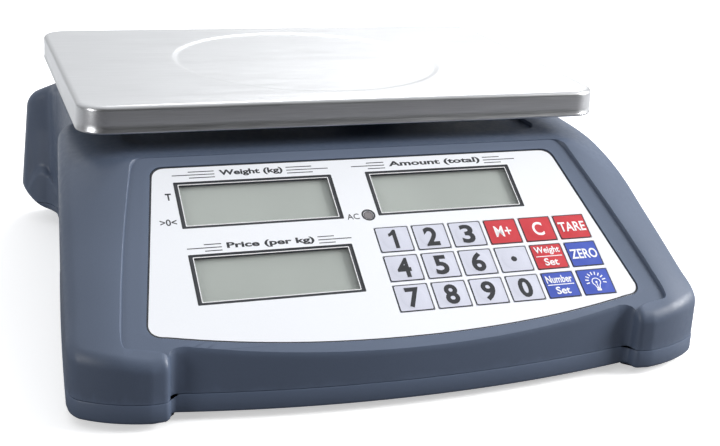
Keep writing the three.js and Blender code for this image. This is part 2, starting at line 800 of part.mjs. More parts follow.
place("battery", batteryBlock(), looks.battery);
place("transformer", transformer(), looks.black);
place("power_inlet", powerInlet(), looks.black);
place("switch_frame", switchFrame(), looks.black);
const rockerMesh = place("switch_rocker", switchRocker(), looks.black);
rockerMesh.position.set(rocker.x, casing.halfDepth - gap - rocker.pivot, rocker.z);
rockerMesh.rotation.z = THREE.MathUtils.degToRad(-rocker.rest);
place("window_customer", rearGlass(), looks.glass);
place("lcd_customer", rearModule(), looks.lcd);
place("bubble_level", bubbleLevel(), looks.glass);

export default scale;
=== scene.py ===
# Looks of a counting scale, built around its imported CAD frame.
# The frame is in metres. Shapes here are worked out in millimetres and scaled when a mesh is made.
import json
import math

import bmesh
import bpy
import numpy as np
from mathutils import Matrix, Vector


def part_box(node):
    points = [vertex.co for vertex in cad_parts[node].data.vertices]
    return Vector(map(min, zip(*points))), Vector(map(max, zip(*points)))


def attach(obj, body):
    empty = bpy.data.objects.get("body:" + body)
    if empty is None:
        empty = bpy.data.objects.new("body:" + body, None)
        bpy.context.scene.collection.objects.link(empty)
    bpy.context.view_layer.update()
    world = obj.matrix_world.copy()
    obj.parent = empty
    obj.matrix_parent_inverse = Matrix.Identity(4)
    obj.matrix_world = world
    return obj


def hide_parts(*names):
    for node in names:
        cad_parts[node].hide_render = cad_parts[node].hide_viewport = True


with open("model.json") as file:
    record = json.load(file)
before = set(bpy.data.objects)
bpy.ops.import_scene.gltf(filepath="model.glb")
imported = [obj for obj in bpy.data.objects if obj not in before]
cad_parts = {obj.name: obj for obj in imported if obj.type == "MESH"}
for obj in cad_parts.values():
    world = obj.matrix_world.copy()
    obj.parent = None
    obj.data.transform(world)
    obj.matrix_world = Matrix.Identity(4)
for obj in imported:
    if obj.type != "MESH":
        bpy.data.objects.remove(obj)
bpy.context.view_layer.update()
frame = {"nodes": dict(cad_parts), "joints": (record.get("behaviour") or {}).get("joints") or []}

MM = 0.001

# ---- Measures taken from the frame, in millimetres ----
def node_points(node):
    """A CAD node's vertices in millimetres."""
    mesh = frame["nodes"][node].data
    points = np.empty(len(mesh.vertices) * 3)
    mesh.vertices.foreach_get("co", points)
    return points.reshape(-1, 3) / MM


def node_box(node):
    low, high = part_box(node)
    return np.array(low) / MM, np.array(high) / MM


def joint_named(name):
    return next(j for j in frame["joints"] if j["name"] == name)


panel_normal = np.array(joint_named("key_5_press")["axis"], float)
panel_normal /= np.linalg.norm(panel_normal)
panel_up = np.cross(panel_normal, [1.0, 0.0, 0.0])
panel_up *= np.sign(panel_up[2])
sheet_top = float(np.max(node_points("panel_overlay") @ panel_normal))
panel_zero = float(np.max(node_points("window_mass") @ panel_up)) - 0.3
panel_origin = panel_up * panel_zero + panel_normal * sheet_top
SLOPE = math.atan2(panel_up[2], panel_up[1])
COS_SLOPE = math.cos(SLOPE)
TAN_SLOPE = math.tan(SLOPE)

PANEL_MATRIX = Matrix(
    (
        (1, 0, 0, panel_origin[0] * MM),
        (0, panel_up[1], panel_normal[1], panel_origin[1] * MM),
        (0, panel_up[2], panel_normal[2], panel_origin[2] * MM),
        (0, 0, 0, 1),
    )
)


def panel_box(node):
    """Lowest and highest u, v, w of a node on the sloped panel."""
    offset = node_points(node) - panel_origin
    uvw = np.stack([offset[:, 0], offset @ panel_up, offset @ panel_normal], 1)
    return uvw.min(0), uvw.max(0)


cover_low, cover_high = node_box("top_cover")
base_low, base_high = node_box("bottom_cover")
HALF_WIDTH = float(cover_high[0])
HALF_DEPTH = float(cover_high[1])
DECK_Z = float(cover_high[2])
PARTING_TOP = float(cover_low[2])
PARTING_LOW = float(base_high[2])
BASE_Z = float(base_low[2])
platter_low, platter_high = node_box("platter")
PLATTER_Y = float(platter_low[1] + platter_high[1]) / 2
PLATTER_SHIFT = 1.5  # the loose platter rests a little to the right

SURROUND = 0.5  # the casing's rim round the printed sheet stands this far above it
BAND_RISE = 2.0  # the side bands stand this far above that rim
WAIST = 166.0
POD_INNER = 137.0
EDGE_ROUND = 7.0
POD_ROUND = 4.2
EAR_FALL = 12.0
WALL = 3.0
STEP_IN = 0.3  # the top cover sits this far in from the bottom cover's edge
GAP = 0.3
PANEL_INNER = -6.0  # the sloped wall's inner face, measured from the printed sheet
BELOW, ABOVE = -20, 10  # how far cutters reach below and above the printed sheet
POCKET_LOW = -4.1  # floor of the keypad membrane's pocket, from the printed sheet
PILLAR = 4.6  # radius of the screw pillars
SCREW_ROOM = 1.8  # radius of the screws' holes in the pillars
WELL_SINK = 2.5  # depth of the shallow well under the platter
HUB_X = (21, 75)  # the carrier's hub passes through the deck between these
HUB_HALF = 25
FLOOR_TOP = 8.2  # upper face of the bottom cover's floor
UNDERSIDE = 5.2  # the floor's lower face, between the pods
FOOT_ROOM = 12  # radius of the pocket round each levelling foot
DOOR_RIM = 3.3

# ---- Outlines of the casing in plan ----
def curve_points(start, control, end, count=14):
    t = np.linspace(0, 1, count, endpoint=False)[:, None]
    start, control, end = (np.array(p, float) for p in (start, control, end))
    return (1 - t) ** 2 * start + 2 * t * (1 - t) * control + t**2 * end


def chain(start, *steps):
    """Joins quadratic stretches (control, end) and straight ones (end,) into one open line."""
    pieces, at = [], start
    for step in steps:
        if len(step) == 1:
            pieces.append(np.array([at], float))
        else:
            pieces.append(curve_points(at, *step))
        at = step[-1]
    return np.concatenate([*pieces, np.array([at], float)])


def whole_outline(half):
    """A right half and its mirror image, as one closed loop."""
    return np.concatenate([half, half[1:-1][::-1] * [-1, 1]])


def casing_half():
    """The right half of the casing's outline, front middle to back middle, then closed down x = 0."""
    side, back = HALF_WIDTH, HALF_DEPTH
    return chain(
        (0, -back),
        ((70, -back), (POD_INNER - 1, -177.2)),
        ((POD_INNER + 1.5, -177.2), (POD_INNER + 2.2, -179)),
        ((POD_INNER + 2.6, -185.2), (143.5, -185.6)),
        ((150, -186.3),),
        ((171, -183.4), (side - 6, -172.5)),
        ((side, -168.5), (side, -157)),
        ((side - 5.5, -75), (side - 13.5, 3)),
        ((side - 15.5, 27), (WAIST + 4, 30)),
        ((WAIST, 31), (WAIST, 37)),
        ((WAIST, 126),),
        ((WAIST, 141), (WAIST + 7, 148)),
        ((side - 1.5, 155), (side - 1, 168)),
        ((side - 1, back), (side - 18, back)),
        ((0, back),),
    )


def recess_half():
    """The right half of the sunk surround of the panel; it runs out past the front."""
    top = -61.5
    return chain(
        (0, top),
        ((134, top),),
        ((140, top - 0.5), (142.3, top - 7)),
        ((154.5, -112), (163, -165)),
        ((164.3, -173.4), (161.5, -173.9)),
        ((150, -175.9),),
        ((POD_INNER + 2, -177.6), (POD_INNER + 0.5, -185)),
        ((POD_INNER, -215),),
        ((0, -215),),
    )


class PlanDistance:
    """Signed distance, in plan, to an outline that is mirrored about x = 0. Inside is negative."""

    pitch = 0.5

    def __init__(self, half):
        self.xs = np.arange(0, 215, self.pitch)
        self.ys = np.arange(-222, 216, self.pitch)
        gx, gy = np.meshgrid(self.xs, self.ys, indexing="ij")
        best = np.full(gx.shape, 1e9)
        inside = np.zeros(gx.shape, bool)
        for (ax, ay), (bx, by) in zip(half[:-1], half[1:]):
            dx, dy = bx - ax, by - ay
            length = dx * dx + dy * dy
            if length < 1e-9:
                continue
            t = np.clip(((gx - ax) * dx + (gy - ay) * dy) / length, 0, 1)
            best = np.minimum(best, (gx - ax - t * dx) ** 2 + (gy - ay - t * dy) ** 2)
            if abs(dy) > 1e-9:
                crosses = (ay > gy) != (by > gy)
                inside ^= crosses & (gx < ax + dx * (gy - ay) / dy)
        self.table = np.where(inside, -1, 1) * np.sqrt(best)

    def __call__(self, x, y):
        fx = np.clip(np.abs(x) / self.pitch, 0, len(self.xs) - 1.001)
        fy = np.clip((y - self.ys[0]) / self.pitch, 0, len(self.ys) - 1.001)
        i, j = fx.astype(int), fy.astype(int)
        fx, fy = fx - i, fy - j
        t = self.table
        low = t[i, j] * (1 - fx) + t[i + 1, j] * fx
        high = t[i, j + 1] * (1 - fx) + t[i + 1, j + 1] * fx
        return low * (1 - fy) + high * fy


plan_distance = PlanDistance(casing_half())


# ---- The casing as a distance field ----
def smooth_step(low, high, value):
    t = np.clip((value - low) / (high - low), 0, 1)
    return t * t * (3 - 2 * t)


def round_meet(a, b, radius):
    """The overlap of two solids, with a fillet of that radius where their faces meet."""
    u = np.maximum(radius + a, 0)
    v = np.maximum(radius + b, 0)
    return np.minimum(-radius, np.maximum(a, b)) + np.hypot(u, v)


def soft_min(a, b, width):
    h = np.clip(0.5 + 0.5 * (b - a) / width, 0, 1)
    return b * (1 - h) + a * h - width * h * (1 - h)


def panel_height(y, lift):
    """Height of the plane that lies lift above the printed sheet."""
    return panel_origin[2] + TAN_SLOPE * (y - panel_origin[1]) + lift / COS_SLOPE


# How far the casing's top falls from its inner line to its outer edge, along the scale.
FALL_Y = [-190, -161, -123, -98, -72, -50, -26, 8, 30, 120, 150, 190]
FALL = [5, 5.5, 9, 12, 13.5, 12.5, 7.5, 3.5, 4, 6, 11, 12]


def top_fall(y):
    at = np.interp(y, FALL_Y, FALL)
    ahead = np.interp(y + 9, FALL_Y, FALL)
    behind = np.interp(y - 9, FALL_Y, FALL)
    return (2 * at + ahead + behind) / 4


def crown_height(x, y):
    """Height of the casing's top: sloped in front, level behind, and falling towards the sides."""
    across = np.abs(x)
    inner = 141 + 22 * smooth_step(-60, -168, y)
    outward = np.clip((across - inner) / (HALF_WIDTH - 6 - inner), 0, 1.4)
    width = 2 + 16 * smooth_step(141, 178, across)
    crest = soft_min(panel_height(y, SURROUND + BAND_RISE), DECK_Z + 0 * y, width)
    crest -= EAR_FALL * smooth_step(140, 190, y) * smooth_step(138, 164, across)
    return crest - top_fall(y) * outward**1.7


def ear_share(x, y):
    """1 on the rear ears and 0 elsewhere, with a soft change between."""
    return smooth_step(138, 160, y) * smooth_step(150, 172, np.abs(x))


def crown_slope(x, y):
    step = 1.0
    dx = (crown_height(x + step, y) - crown_height(x - step, y)) / (2 * step)
    dy = (crown_height(x, y + step) - crown_height(x, y - step)) / (2 * step)
    return np.sqrt(1 + dx * dx + dy * dy)


def wall_draft(x, y):
    """How far the wall leans in for each millimetre of height: most at the front and on the ears."""
    across = np.abs(x)
    front = (1 - smooth_step(130, 142, across)) * (1 - smooth_step(-160, -140, y))
    return 0.012 + 0.063 * front + 0.078 * ear_share(x, y)


def ear_under(x, y):
    """Height of the ears' underside, which climbs towards their outer edge."""
    across = np.abs(x)
    outward = np.clip((across - 160) / 30, 0, 1.2)
    share = smooth_step(120, 138, y) * smooth_step(156, 167, across)
    return BASE_Z - 4 + share * (10 + 17 * outward**3)


def ear_scoop(x, y, z):
    """How far the ears' front faces are hollowed, above an arched toe."""
    off_middle = np.abs(np.abs(x) - 175)
    arch = 41 - 0.14 * off_middle**2
    across = 1 - smooth_step(5, 13, off_middle)
    along = smooth_step(126, 138, y) * (1 - smooth_step(160, 174, y))
    return 3 * across * along * smooth_step(arch - 3, arch + 4, z) * (1 - smooth_step(68, 98, z))


def casing_field(x, y, z):
    """Distance to the outside of the two closed casing halves, before they are parted or cut."""
    wall = plan_distance(x, y) + STEP_IN + wall_draft(x, y) * (z - BASE_Z) + ear_scoop(x, y, z)
    top = (z - crown_height(x, y)) / crown_slope(x, y)
    pod = 1 - smooth_step(-168, -148, y)
    closed = round_meet(wall, top, EDGE_ROUND * (1 - pod) + POD_ROUND * pod)
    return round_meet(closed, ear_under(x, y) - z, 3)


# ---- Meshes from fields and from outlines ----
CORNERS = [(i, j, k) for i in (0, 1) for j in (0, 1) for k in (0, 1)]


def graded(stretches):
    """Grid lines whose spacing changes: (from, to, spacing) for each stretch."""
    lines = []
    for low, high, spacing in stretches:
        count = max(1, round((high - low) / spacing))
        lines.append(np.linspace(low, high, count, endpoint=False))
    return np.concatenate([*lines, [stretches[-1][1]]])


def net_of(field, xs, ys, zs):
    """A closed quad mesh round the field's inside, by surface nets, moved onto its zero level."""
    values = np.empty((len(xs), len(ys), len(zs)), np.float32)
    gx, gy = np.meshgrid(xs, ys, indexing="ij")
    for k, z in enumerate(zs):
        values[:, :, k] = field(gx, gy, z)
    inside = values < 0
    count = np.zeros([n - 1 for n in inside.shape], np.int8)
    for i, j, k in CORNERS:
        count += inside[i : i + len(xs) - 1, j : j + len(ys) - 1, k : k + len(zs) - 1]
    cells = np.argwhere((count > 0) & (count < 8))
    number = np.full(count.shape, -1, np.int32)
    number[tuple(cells.T)] = np.arange(len(cells))
    total, hits = np.zeros((len(cells), 3)), np.zeros(len(cells))
    lines = (xs, ys, zs)
    for a in CORNERS:
        for axis in range(3):
            if a[axis]:
                continue
            b = tuple(v + (n == axis) for n, v in enumerate(a))
            ia, ib = cells + a, cells + b
            va, vb = values[tuple(ia.T)], values[tuple(ib.T)]
            crossed = (va < 0) != (vb < 0)
            share = np.where(crossed, va / np.where(crossed, va - vb, 1), 0)
            pa = np.stack([lines[n][ia[:, n]] for n in range(3)], 1)
            pb = np.stack([lines[n][ib[:, n]] for n in range(3)], 1)
            total += np.where(crossed[:, None], pa + (pb - pa) * share[:, None], 0)
            hits += crossed
    points = total / hits[:, None]
    faces = []
    for axis in range(3):
        p, q = [n for n in range(3) if n != axis]
        first = [slice(1, -1)] * 3
        first[axis] = slice(0, -1)
        second = list(first)
        second[axis] = slice(1, None)
        change = np.argwhere(inside[tuple(first)] != inside[tuple(second)])
        change += [0 if n == axis else 1 for n in range(3)]
        out = inside[tuple(change.T)]
        quad = []
        for dp, dq in ((-1, -1), (0, -1), (0, 0), (-1, 0)):
            at = change.copy()
            at[:, p] += dp
            at[:, q] += dq
            quad.append(number[tuple(at.T)])
        quad = np.stack(quad, 1)
        flip = out if axis == 1 else ~out
        quad[flip] = quad[flip][:, ::-1]
        faces.append(quad)
    faces = np.concatenate(faces)
    for _ in range(4):
        points = settle(field, points)
    return points, faces


def settle(field, points, reach=0.6):
    """Moves points one step onto the field's zero level."""
    h = 0.04
    at = points.T
    here = field(*at)
    steps = np.eye(3)[:, :, None] * h
    rises = [field(*(at + step)) - field(*(at - step)) for step in steps]
    slope = np.stack(rises, 1) / (2 * h)
    size = np.maximum((slope**2).sum(1), 0.25)
    move = slope * (here / size)[:, None]
    length = np.linalg.norm(move, axis=1)
    return points - move * np.minimum(1, reach / np.maximum(length, 1e-9))[:, None]


def mesh_object(name, points, faces, material=None, matrix=None):
    """points in millimetres; faces are equal-sized index rows or plain lists."""
    mesh = bpy.data.meshes.new(name)
    rows = faces.tolist() if isinstance(faces, np.ndarray) else faces
    mesh.from_pydata((np.asarray(points) * MM).tolist(), [], rows)
    if matrix is not None:
        mesh.transform(matrix)
    mesh.validate()
    mesh.update()
    obj = bpy.data.objects.new(name, mesh)
    bpy.context.scene.collection.objects.link(obj)
    if material:
        mesh.materials.append(material)
    return obj


def apply_modifiers(obj):
    bpy.context.view_layer.update()
    evaluated = obj.evaluated_get(bpy.context.evaluated_depsgraph_get())
    mesh = bpy.data.meshes.new_from_object(evaluated)
    obj.modifiers.clear()
    old = obj.data
    obj.data = mesh
    bpy.data.meshes.remove(old)


def smooth(obj, angle=32):
    """Smooth shading, with edges sharper than the angle kept crisp."""
    mesh = obj.data
    mesh.polygons.foreach_set("use_smooth", [True] * len(mesh.polygons))
    mesh.set_sharp_from_angle(angle=math.radians(angle))


def prism(outline, low, high, matrix=None):
    """A closed column over a plan outline, as a cutter."""
    outline = np.asarray(outline, float)
    n = len(outline)
    points = np.concatenate([np.c_[outline, np.full(n, low)], np.c_[outline, np.full(n, high)]])
    area = np.sum(outline[:, 0] * np.roll(outline[:, 1], -1) - np.roll(outline[:, 0], -1) * outline[:, 1])
    sides = [[i, (i + 1) % n, n + (i + 1) % n, n + i] for i in range(n)]
    faces = [list(range(n))[::-1], list(range(n, 2 * n)), *sides]
    if area < 0:
        faces = [face[::-1] for face in faces]
    return mesh_object("cutter", points, faces, matrix=matrix)


def block(low, high):
    (x0, y0, z0), (x1, y1, z1) = low, high
    return prism([(x0, y0), (x1, y0), (x1, y1), (x0, y1)], z0, z1)


def arc(cx, cy, radius, start, end, count):
    turn = np.radians(np.linspace(start, end, count))
    return np.c_[cx + radius * np.cos(turn), cy + radius * np.sin(turn)]


def disc(cx, cy, radius, count=40):
    return arc(cx, cy, radius, 0, 360, count + 1)[:-1]


def rounded_box(x0, x1, y0, y1, radius, count=7):
    corners = [(x1, y0, -90), (x1, y1, 0), (x0, y1, 90), (x0, y0, 180)]
    parts = []
    for x, y, start in corners:
        cx = x - radius if x == x1 else x + radius
        cy = y - radius if y == y1 else y + radius
        parts.append(arc(cx, cy, radius, start, start + 90, count))
    return np.concatenate(parts)


def cut(obj, cutters):
    """Cuts closed bodies out of a closed body, and removes the cutters."""
    for cutter in cutters:
        modifier = obj.modifiers.new("cut", "BOOLEAN")
        modifier.operation = "DIFFERENCE"
        modifier.solver = "MANIFOLD"
        modifier.object = cutter
    apply_modifiers(obj)
    for cutter in cutters:
        bpy.data.objects.remove(cutter)
    return obj


def pad_loop(width, depth, radius, inset, arc_points=8, side_points=10):
    """A rounded rectangle about the origin, with the same number of points at any inset."""
    half_w, half_d = width / 2 - inset, depth / 2 - inset
    bend = max(radius - inset, 0.3)
    turns = [(1, -1, -90), (1, 1, 0), (-1, 1, 90), (-1, -1, 180)]
    arcs = []
    for sx, sy, start in turns:
        arcs.append(arc(sx * (half_w - bend), sy * (half_d - bend), bend, start, start + 90, arc_points))
    share = np.linspace(0, 1, side_points + 2)[1:-1, None]
    parts = []
    for here, after in zip(arcs, arcs[1:] + arcs[:1]):
        parts += [here, here[-1] + (after[0] - here[-1]) * share]
    return np.concatenate(parts)


def round_loop(loop, radius):
    """A circle about the origin, with one point along the way to each point of the loop."""
    return loop / np.linalg.norm(loop, axis=1)[:, None] * radius


def lofted(name, rings, materials, matrix=None, bands=()):
    """Skins rings of equal count, from the middle of the top, outwards and round to the middle below.
    bands holds (first ring, last ring, material number) for stretches with another material."""
    n = len(rings[0])
    points = [*rings, rings[0].mean(0)[None], rings[-1].mean(0)[None]]
    top, low = len(rings) * n, len(rings) * n + 1
    faces, marks = [], []
    for k in range(len(rings) - 1):
        mark = next((m for first, last, m in bands if first <= k < last), 0)
        for j in range(n):
            i = (j + 1) % n
            faces.append([k * n + j, (k + 1) * n + j, (k + 1) * n + i, k * n + i])
            marks.append(mark)
    last = (len(rings) - 1) * n
    for j in range(n):
        i = (j + 1) % n
        faces += [[top, j, i], [low, last + i, last + j]]
        marks += [0, 0]
    obj = mesh_object(name, np.concatenate(points), faces, matrix=matrix)
    for material in materials:
        obj.data.materials.append(material)
    obj.data.polygons.foreach_set("material_index", marks)
    return obj


def at_height(loop, height):
    return np.c_[loop, np.full(len(loop), height)]


# ---- Materials ----
def paint(red, green, blue):
    """A colour as seen on a screen, 0 to 255, as the shader wants it."""
    shares = [v / 255 for v in (red, green, blue)]
    return tuple(s / 12.92 if s < 0.04 else ((s + 0.055) / 1.055) ** 2.4 for s in shares)


class Look:
    """A node material in the making. Sizes of patterns and depths of bumps are in millimetres."""

    def __init__(self, name, roughness=0.5, metallic=0.0, specular=0.5):
        self.material = bpy.data.materials.new(name)
        self.material.use_nodes = True
        self.nodes = self.material.node_tree.nodes
        self.links = self.material.node_tree.links
        self.shader = self.nodes["Principled BSDF"]
        values = {"Roughness": roughness, "Metallic": metallic, "Specular IOR Level": specular}
        for socket, value in values.items():
            self.shader.inputs[socket].default_value = value
        self.place = self.nodes.new("ShaderNodeTexCoord").outputs["Object"]

    def put(self, source, socket):
        self.links.new(source, self.shader.inputs[socket])

    def node(self, kind, inputs, output=0, **settings):
        made = self.nodes.new(kind)
        for key, value in settings.items():
            setattr(made, key, value)
        for key, value in inputs.items():
            if isinstance(value, bpy.types.NodeSocket):
                self.links.new(value, made.inputs[key])
            else:
                made.inputs[key].default_value = value
        return made.outputs[output]

    def noise(self, size, stretch=(1, 1, 1), detail=3):
        scale = [s / (size * MM) for s in stretch]
        spot = self.node("ShaderNodeMapping", {"Vector": self.place, "Scale": scale})
        return self.node("ShaderNodeTexNoise", {"Vector": spot, "Scale": 1.0, "Detail": detail})

    def ramp(self, value, low, high, low_at=0.3, high_at=0.7):
        made = self.nodes.new("ShaderNodeValToRGB")
        for element, at, colour in zip(made.color_ramp.elements, (low_at, high_at), (low, high)):
            element.position = at
            element.color = (*colour, 1)
        self.links.new(value, made.inputs["Fac"])
        return made.outputs["Color"]

    def span(self, value, low, high):
        inputs = {"Value": value, "From Min": 0.3, "From Max": 0.7, "To Min": low, "To Max": high}
        return self.node("ShaderNodeMapRange", inputs)

    def blend(self, share, first, second):
        made = self.nodes.new("ShaderNodeMix")
        made.data_type = "RGBA"
        for socket, value in zip((made.inputs[0], made.inputs[6], made.inputs[7]), (share, first, second)):
            if isinstance(value, bpy.types.NodeSocket):
                self.links.new(value, socket)
            else:
                socket.default_value = (*value, 1) if isinstance(value, tuple) else value
        return made.outputs[2]

    def bump(self, height, depth):
        inputs = {"Height": height, "Strength": 1.0, "Distance": depth * MM}
        self.put(self.node("ShaderNodeBump", inputs), "Normal")

    def worn(self, colour, worn_colour, low=0.51, high=0.56):
        """Rubs convex edges a little towards the worn colour."""
        edge = self.nodes.new("ShaderNodeNewGeometry").outputs["Pointiness"]
        inputs = {"Value": edge, "From Min": low, "From Max": high, "To Max": 0.6}
        return self.blend(self.node("ShaderNodeMapRange", inputs), colour, worn_colour)


def scaled(colour, share):
    return tuple(c * share for c in colour)


def moulded(name, colour, roughness=0.42, grain=0.55, depth=0.02, edge=1.35, shade=0.06):
    """Moulded plastic: fine grain, faint cloudiness, and edges rubbed a little paler."""
    look = Look(name, roughness)
    cloud = look.ramp(look.noise(55, detail=2), scaled(colour, 1 - shade), scaled(colour, 1 + shade))
    grit = look.noise(grain, detail=2)
    speck = look.ramp(grit, scaled(colour, 0.93), scaled(colour, 1.07))
    body = look.blend(0.5, cloud, speck)
    look.put(look.worn(body, scaled(colour, edge)), "Base Color")
    look.put(look.span(look.noise(3.5), roughness - 0.05, roughness + 0.07), "Roughness")
    look.bump(grit, depth)
    return look.material


def printed(name, colour, roughness=0.4):
    """Screen-printed ink, with the slight unevenness of its dots."""
    look = Look(name, roughness)
    dots = look.noise(0.4, detail=1)
    look.put(look.ramp(dots, scaled(colour, 0.86), scaled(colour, 1.1)), "Base Color")
    look.bump(dots, 0.004)
    return look.material


def brushed(name, colour, low, high, along=(0.02, 1, 1), pitch=0.3, depth=0.006):
    """Metal brushed along one direction, with fine lines in its colour, gloss and surface."""
    look = Look(name, metallic=1.0)
    lines = look.noise(pitch, along, detail=4)
    wide = look.noise(pitch * 12, along, detail=2)
    look.put(look.ramp(lines, scaled(colour, 0.9), scaled(colour, 1.03)), "Base Color")
    mixed = look.blend(0.3, lines, wide)
    look.put(look.span(mixed, low, high), "Roughness")
    look.bump(lines, depth)
    return look.material


def cast(name, colour, roughness=0.5, metallic=1.0, grain=1.2, depth=0.05):
    look = Look(name, roughness, metallic)
    grit = look.noise(grain, detail=4)
    look.put(look.ramp(grit, scaled(colour, 0.8), scaled(colour, 1.12)), "Base Color")
    look.put(look.span(look.noise(grain * 4), roughness - 0.1, roughness + 0.12), "Roughness")
    look.bump(grit, depth)
    return look.material


def clear_window(name):
    """Thin clear plastic: seen through, with a gloss that grows at low angles, and faint dust."""
    look = Look(name)
    through = look.nodes.new("ShaderNodeBsdfTransparent")
    gloss = look.nodes.new("ShaderNodeBsdfGlossy")
    through.inputs["Color"].default_value = (0.975, 0.985, 0.98, 1)
    look.links.new(look.span(look.noise(30, detail=1), 0.1, 0.14), gloss.inputs["Roughness"])
    mix = look.nodes.new("ShaderNodeMixShader")
    facing = look.node("ShaderNodeLayerWeight", {"Blend": 0.5}, output=1)
    share = {"Value": facing, "From Min": 0.3, "To Min": 0.04, "To Max": 0.6}
    look.links.new(look.node("ShaderNodeMapRange", share), mix.inputs[0])
    look.links.new(through.outputs[0], mix.inputs[1])
    look.links.new(gloss.outputs[0], mix.inputs[2])
    look.links.new(mix.outputs[0], look.nodes["Material Output"].inputs["Surface"])
    return look.material


def crystal(name, colour):
    """An unlit liquid crystal glass: a grey-green with a slow drift of tone and a fine reflector grain."""
    look = Look(name, 0.3)
    drift = look.ramp(look.noise(60, detail=1), scaled(colour, 0.9), scaled(colour, 1.08))
    grain = look.ramp(look.noise(0.35, detail=1), scaled(colour, 0.94), scaled(colour, 1.05))
    look.put(look.blend(0.4, drift, grain), "Base Color")
    return look.material


def spirit_level(name, centre):
    """A round bubble level seen from above: a black body, a ring line, green fluid and a pale bubble."""
    look = Look(name, 0.08, specular=0.7)
    offset = look.node("ShaderNodeVectorMath", {0: look.place, 1: centre}, operation="SUBTRACT")
    flat = look.node("ShaderNodeVectorMath", {0: offset, 1: (1, 1, 0)}, operation="MULTIPLY")
    radius = look.node("ShaderNodeVectorMath", {0: flat}, output="Value", operation="LENGTH")
    made = look.nodes.new("ShaderNodeValToRGB")
    made.color_ramp.interpolation = "CONSTANT"
    bands = [
        (0.0, paint(225, 240, 205)),
        (0.2, paint(150, 205, 70)),
        (0.42, paint(30, 45, 20)),
        (0.47, paint(150, 205, 70)),
        (0.78, paint(25, 26, 28)),
    ]
    elements = made.color_ramp.elements
    while len(elements) < len(bands):
        elements.new(0.5)
    for element, (at, colour) in zip(elements, bands):
        element.position = at
        element.color = (*colour, 1)
    share = look.node("ShaderNodeMath", {0: radius, 1: 11 * MM}, operation="DIVIDE")
    look.links.new(share, made.inputs["Fac"])
    tint = look.ramp(look.noise(2), (0.9, 0.9, 0.9), (1, 1, 1))
    mixed = look.node("ShaderNodeVectorMath", {0: made.outputs["Color"], 1: tint}, operation="MULTIPLY")
    look.put(mixed, "Base Color")
    return look.material


CASING = moulded("casing_plastic", paint(90, 102, 123))
OVERLAY = moulded("overlay_film", paint(243, 245, 250), 0.34, 0.35, 0.006, 1.0, 0.015)
# Dark ink for print on the sheet and on the pale keys; the same material also paints the shadow of the gap
# along the printed sheet's edge.
DARK_INK_AND_GAP_SHADOW = printed("dark_ink_and_painted_shadow", paint(38, 40, 46))
# White ink for print on the red and blue keys; the same material also paints the highlight on the display
# windows' inner bevels.
WHITE_INK_AND_BEVEL_HIGHLIGHT = printed("white_ink_and_painted_highlight", paint(250, 250, 252))
RING = printed("window_border", paint(52, 54, 60))
KEY_PALE = moulded("pale_key", paint(212, 214, 228), 0.36, 0.4, 0.008, 1.05, 0.03)
KEY_RED = moulded("red_key", paint(205, 52, 62), 0.36, 0.4, 0.008, 1.1, 0.05)
KEY_BLUE = moulded("blue_key", paint(62, 86, 184), 0.36, 0.4, 0.008, 1.1, 0.05)
KEY_LOOKS = {"key_pale": KEY_PALE, "key_red": KEY_RED, "key_blue": KEY_BLUE}
STEEL = brushed("platter_steel", paint(220, 221, 223), 0.28, 0.4, (0.015, 1, 1), 0.45, 0.003)
SLOT_LOOKS = {
    "casing": CASING,
    "window": clear_window("window_plastic"),
    "lcd": crystal("display_glass", paint(204, 207, 203)),
    "aluminium": cast("cast_aluminium", paint(196, 198, 200), 0.42, 1.0, 1.4, 0.06),
    "zinc_steel": brushed("zinc_plate", paint(190, 190, 186), 0.25, 0.4, (1, 1, 0.05), 0.5),
    "rubber": moulded("black_rubber", paint(34, 34, 36), 0.75, 0.9, 0.05, 1.6, 0.12),
    "membrane": moulded("switch_sheet", paint(120, 132, 126), 0.4, 0.5, 0.01, 1.1),
    "circuit_board": moulded("solder_mask", paint(32, 92, 58), 0.3, 1.8, 0.03, 1.3, 0.15),
    "black_plastic": moulded("black_nylon", paint(30, 30, 33), 0.48, 0.7, 0.03, 1.8, 0.1),
    "battery_case": moulded("battery_plastic", paint(64, 68, 74), 0.5, 0.8, 0.03, 1.3),
    "transformer_iron": cast("iron_core", paint(92, 88, 86), 0.55, 0.6, 0.5, 0.08),
    "lamp": moulded("smoked_lamp", paint(128, 124, 126), 0.2, 0.8, 0.01, 1.1),
}


# ---- Pieces ----
def finished(obj, body, slot, *replaced):
    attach(obj, body)
    if replaced:
        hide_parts(*replaced)
    return obj


def rear_cut(node):
    """Cuts through the rear wall for a piece that sits in it."""
    low, high = node_box(node)
    first = (low[0] - GAP, HALF_DEPTH - 12, low[2] - GAP)
    last = (high[0] + GAP, HALF_DEPTH + 5, high[2] + GAP)
    return block(first, last)


def panel_cut(node, low, high, grow=GAP):
    """Cuts the box of a piece on the panel, between two heights above the printed sheet."""
    first, last = panel_box(node)
    outline = rounded_box(first[0] - grow, last[0] + grow, first[1] - grow, last[1] + grow, 0.6, 3)
    return prism(outline, low, high, PANEL_MATRIX)


def lamp_cut(low, high, grow=GAP):
    first, last = panel_box("power_indicator")
    middle = (first + last) / 2
    radius = (last[0] - first[0]) / 2 + grow
    return prism(disc(middle[0], middle[1], radius), low, high, PANEL_MATRIX)


def overlay_outline(grow):
    """The printed sheet's outline on the panel: narrower at the top, with a bowed lower edge."""
    top, wide, low = 12.4 + grow, 131 + grow, 149 + grow
    half = chain(
        (0, top),
        (((wide - 8), top),),
        ((wide, top), (wide + 1, top - 8)),
        ((139.5 + grow, -42), (low, -98)),
        ((low, -106 - grow), (low - 9, -106.5 - grow)),
        ((75, -120.5 - grow), (0, -120.5 - grow)),
    )
    return whole_outline(half)


